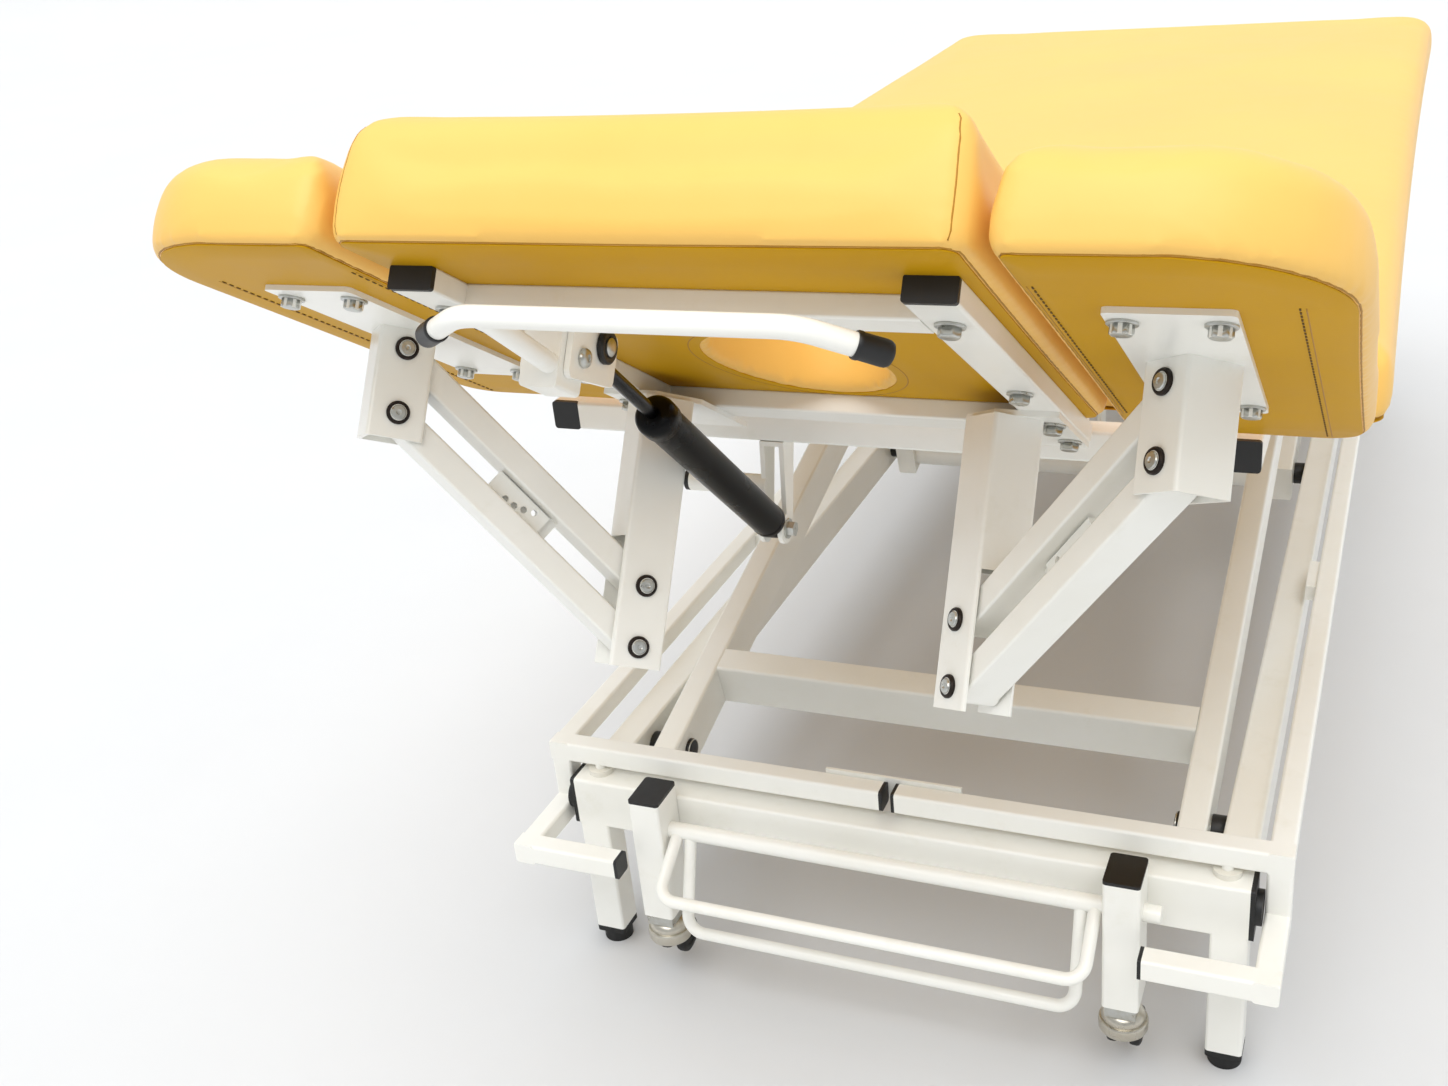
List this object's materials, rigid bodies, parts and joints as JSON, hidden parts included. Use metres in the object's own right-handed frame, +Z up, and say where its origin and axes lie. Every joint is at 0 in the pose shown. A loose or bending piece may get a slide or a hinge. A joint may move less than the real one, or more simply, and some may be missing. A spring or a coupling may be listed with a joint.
{
  "type": "electric treatment table",
  "caption": "Padded lying surface on a parallel-arm electric lift, with a tilting head section and face hole, drop armrests, foot ring and retractable casters",
  "frame": {"origin": "on the floor under the middle of the whole table at rest", "axes": "Z up, Y from the head end to the foot end, X across the table"},
  "size_m": [0.752, 2.0375, 0.8571],
  "materials": {
    "white_paint": "smooth satin powder coat",
    "yellow_vinyl": "soft satin vinyl with a fine grain",
    "black_plastic": "moulded satin black",
    "black_rubber": "matte black",
    "white_plastic": "smooth white nylon",
    "zinc_steel": "bright zinc plate",
    "hood_chrome": "polished chrome plate",
    "black_enamel": "gloss black enamel",
    "grey_housing": "satin grey moulding"
  },
  "bodies": {
    "base": {"base_end_front": "white_paint", "base_end_rear": "white_paint", "base_rail_right": "white_paint", "base_rail_left": "white_paint", "base_caps": "black_plastic", "level_feet": "black_rubber", "ring_pucks": "white_plastic", "lift_lower_pins": "zinc_steel", "actuator_body": "grey_housing"},
    "foot_ring": {"foot_ring_right": "white_paint", "foot_ring_left": "white_paint", "ring_plates": "white_paint", "ring_caps": "black_plastic"},
    "pedal_front": {"pedal_front": "white_paint"},
    "pedal_rear": {"pedal_rear": "white_paint"},
    "front_arms": {"lift_frame_front": "white_paint"},
    "rear_arms": {"lift_frame_rear": "white_paint"},
    "actuator_rod": {"actuator_rod": "zinc_steel"},
    "top": {"main_rail_right": "white_paint", "main_rail_left": "white_paint", "main_cross_front": "white_paint", "main_cross_middle": "white_paint", "main_cross_rear": "white_paint", "main_caps": "black_plastic", "main_cushion": "yellow_vinyl", "gas_bracket": "white_paint", "gas_bolt": "zinc_steel", "lift_upper_pins": "zinc_steel"},
    "gas_cylinder": {"gas_cylinder": "black_enamel"},
    "gas_rod": {"gas_rod": "hood_chrome"},
    "head": {"head_frame": "white_paint", "head_caps": "black_plastic", "head_cushion": "yellow_vinyl", "head_bolts": "zinc_steel", "side_post_right": "white_paint", "side_post_left": "white_paint", "release_housing": "white_paint"},
    "handle": {"release_handle": "white_paint", "handle_grips": "black_plastic"},
    "upper_link_right": {"upper_link_right": "white_paint"},
    "lower_link_right": {"lower_link_right": "white_paint"},
    "armrest_right": {"armrest_bracket_right": "white_paint", "armrest_cushion_right": "yellow_vinyl"},
    "upper_link_left": {"upper_link_left": "white_paint"},
    "lower_link_left": {"lower_link_left": "white_paint"},
    "armrest_left": {"armrest_bracket_left": "white_paint", "armrest_cushion_left": "yellow_vinyl"},
    "caster_slide_front_right": {"caster_slide_front_right": "zinc_steel"},
    "caster_swivel_front_right": {"caster_swivel_front_right": "hood_chrome"},
    "caster_wheels_front_right": {"caster_wheels_front_right": "black_rubber"},
    "caster_slide_front_left": {"caster_slide_front_left": "zinc_steel"},
    "caster_swivel_front_left": {"caster_swivel_front_left": "hood_chrome"},
    "caster_wheels_front_left": {"caster_wheels_front_left": "black_rubber"},
    "caster_slide_rear_right": {"caster_slide_rear_right": "zinc_steel"},
    "caster_swivel_rear_right": {"caster_swivel_rear_right": "hood_chrome"},
    "caster_wheels_rear_right": {"caster_wheels_rear_right": "black_rubber"},
    "caster_slide_rear_left": {"caster_slide_rear_left": "zinc_steel"},
    "caster_swivel_rear_left": {"caster_swivel_rear_left": "hood_chrome"},
    "caster_wheels_rear_left": {"caster_wheels_rear_left": "black_rubber"}
  },
  "joints": [
    {"name": "lift", "type": "hinge", "parent": "base", "child": "front_arms", "pos_m": [0, -0.55175, 0.165], "axis": [1, 0, 0], "range_deg": [-7.7, 29.3]},
    {"name": "rear_arms_swing", "type": "hinge", "parent": "base", "child": "rear_arms", "pos_m": [0, 0.23825, 0.165], "axis": [1, 0, 0], "range_deg": [-8, 29.6]},
    {"name": "top_level", "type": "hinge", "parent": "front_arms", "child": "top", "pos_m": [0, 0.12212, 0.3545], "axis": [1, 0, 0], "range_deg": [-29.6, 8]},
    {"name": "actuator_extend", "type": "slide", "parent": "base", "child": "actuator_rod", "axis": [0, -1, 0], "range_m": [-0.01376, 0.05097]},
    {"name": "head_tilt", "type": "hinge", "parent": "top", "child": "head", "pos_m": [0, -0.60575, 0.566], "axis": [-1, 0, 0], "range_deg": [-32, 6]},
    {"name": "gas_cylinder_swing", "type": "hinge", "parent": "top", "child": "gas_cylinder", "pos_m": [-0.09, -0.62375, 0.455], "axis": [-1, 0, 0], "range_deg": [-28.57, 5.6]},
    {"name": "gas_rod_slide", "type": "slide", "parent": "gas_cylinder", "child": "gas_rod", "axis": [0, -0.7388, 0.674], "range_m": [-0.05813, 0.01131]},
    {"name": "handle_squeeze", "type": "hinge", "parent": "head", "child": "handle", "pos_m": [-0.09, -0.9284, 0.71031], "axis": [-1, 0, 0], "range_deg": [0, 8], "stiffness_Nm_per_rad": 8, "springref_deg": -14.32},
    {"name": "armrest_right_drop", "type": "hinge", "parent": "head", "child": "upper_link_right", "pos_m": [0.1315, -0.79684, 0.48306], "axis": [-0.7071, -0.5997, 0.3747], "range_deg": [-36, 0]},
    {"name": "lower_link_right_swing", "type": "hinge", "parent": "head", "child": "lower_link_right", "pos_m": [0.1315, -0.82095, 0.44447], "axis": [-0.7071, -0.5997, 0.3747], "range_deg": [-36.3, 0.3]},
    {"name": "armrest_right_level", "type": "hinge", "parent": "upper_link_right", "child": "armrest_right", "pos_m": [0.27081, -0.84051, 0.67606], "axis": [-0.7071, -0.5997, 0.3747], "range_deg": [-0.3, 36.3]},
    {"name": "armrest_left_drop", "type": "hinge", "parent": "head", "child": "upper_link_left", "pos_m": [-0.1315, -0.79684, 0.48306], "axis": [-0.7071, 0.5997, -0.3747], "range_deg": [-36, 0]},
    {"name": "lower_link_left_swing", "type": "hinge", "parent": "head", "child": "lower_link_left", "pos_m": [-0.1315, -0.82095, 0.44447], "axis": [-0.7071, 0.5997, -0.3747], "range_deg": [-36.3, 0.3]},
    {"name": "armrest_left_level", "type": "hinge", "parent": "upper_link_left", "child": "armrest_left", "pos_m": [-0.27081, -0.84051, 0.67606], "axis": [-0.7071, 0.5997, -0.3747], "range_deg": [-0.3, 36.3]},
    {"name": "ring_press", "type": "slide", "parent": "base", "child": "foot_ring", "axis": [0, 0, 1], "range_m": [-0.0025, 0], "stiffness_N_per_m": 20000, "springref_m": 0.01},
    {"name": "pedal_front_press", "type": "hinge", "parent": "base", "child": "pedal_front", "pos_m": [0, -0.68175, 0.168], "axis": [1, 0, 0], "range_deg": [0, 35]},
    {"name": "caster_lower_front_right", "type": "slide", "parent": "base", "child": "caster_slide_front_right", "axis": [0, 0, -1], "range_m": [-0.0002, 0.0282]},
    {"name": "caster_turn_front_right", "type": "hinge", "parent": "caster_slide_front_right", "child": "caster_swivel_front_right", "pos_m": [0.211, -0.68175, 0.068], "axis": [0, 0, 1], "continuous": true},
    {"name": "caster_roll_front_right", "type": "hinge", "parent": "caster_swivel_front_right", "child": "caster_wheels_front_right", "pos_m": [0.211, -0.66875, 0.037], "axis": [1, 0, 0], "continuous": true},
    {"name": "caster_lower_front_left", "type": "slide", "parent": "base", "child": "caster_slide_front_left", "axis": [0, 0, -1], "range_m": [-0.0002, 0.0282]},
    {"name": "caster_turn_front_left", "type": "hinge", "parent": "caster_slide_front_left", "child": "caster_swivel_front_left", "pos_m": [-0.211, -0.68175, 0.068], "axis": [0, 0, 1], "continuous": true},
    {"name": "caster_roll_front_left", "type": "hinge", "parent": "caster_swivel_front_left", "child": "caster_wheels_front_left", "pos_m": [-0.211, -0.66875, 0.037], "axis": [1, 0, 0], "continuous": true},
    {"name": "pedal_rear_press", "type": "hinge", "parent": "base", "child": "pedal_rear", "pos_m": [0, 0.95825, 0.168], "axis": [-1, 0, 0], "range_deg": [0, 35]},
    {"name": "caster_lower_rear_right", "type": "slide", "parent": "base", "child": "caster_slide_rear_right", "axis": [0, 0, -1], "range_m": [-0.0002, 0.0282]},
    {"name": "caster_turn_rear_right", "type": "hinge", "parent": "caster_slide_rear_right", "child": "caster_swivel_rear_right", "pos_m": [0.211, 0.95825, 0.068], "axis": [0, 0, 1], "continuous": true},
    {"name": "caster_roll_rear_right", "type": "hinge", "parent": "caster_swivel_rear_right", "child": "caster_wheels_rear_right", "pos_m": [0.211, 0.94525, 0.037], "axis": [1, 0, 0], "continuous": true},
    {"name": "caster_lower_rear_left", "type": "slide", "parent": "base", "child": "caster_slide_rear_left", "axis": [0, 0, -1], "range_m": [-0.0002, 0.0282]},
    {"name": "caster_turn_rear_left", "type": "hinge", "parent": "caster_slide_rear_left", "child": "caster_swivel_rear_left", "pos_m": [-0.211, 0.95825, 0.068], "axis": [0, 0, 1], "continuous": true},
    {"name": "caster_roll_rear_left", "type": "hinge", "parent": "caster_swivel_rear_left", "child": "caster_wheels_rear_left", "pos_m": [-0.211, 0.94525, 0.037], "axis": [1, 0, 0], "continuous": true}
  ],
  "couplings": [
    {"joint": "rear_arms_swing", "follows": "lift", "ratio": 1},
    {"joint": "top_level", "follows": "lift", "ratio": -1},
    {"joint": "actuator_extend", "follows": "lift", "m_per_rad": 0.0987},
    {"joint": "gas_cylinder_swing", "follows": "head_tilt", "ratio": 0.8833},
    {"joint": "gas_rod_slide", "follows": "head_tilt", "m_per_rad": 0.10319},
    {"joint": "lower_link_right_swing", "follows": "armrest_right_drop", "ratio": 1},
    {"joint": "armrest_right_level", "follows": "armrest_right_drop", "ratio": -1},
    {"joint": "lower_link_left_swing", "follows": "armrest_left_drop", "ratio": 1},
    {"joint": "armrest_left_level", "follows": "armrest_left_drop", "ratio": -1},
    {"joint": "caster_lower_front_right", "follows": "pedal_front_press", "m_per_rad": 0.045837},
    {"joint": "caster_lower_front_left", "follows": "pedal_front_press", "m_per_rad": 0.045837},
    {"joint": "caster_lower_rear_right", "follows": "pedal_rear_press", "m_per_rad": 0.045837},
    {"joint": "caster_lower_rear_left", "follows": "pedal_rear_press", "m_per_rad": 0.045837}
  ]
}
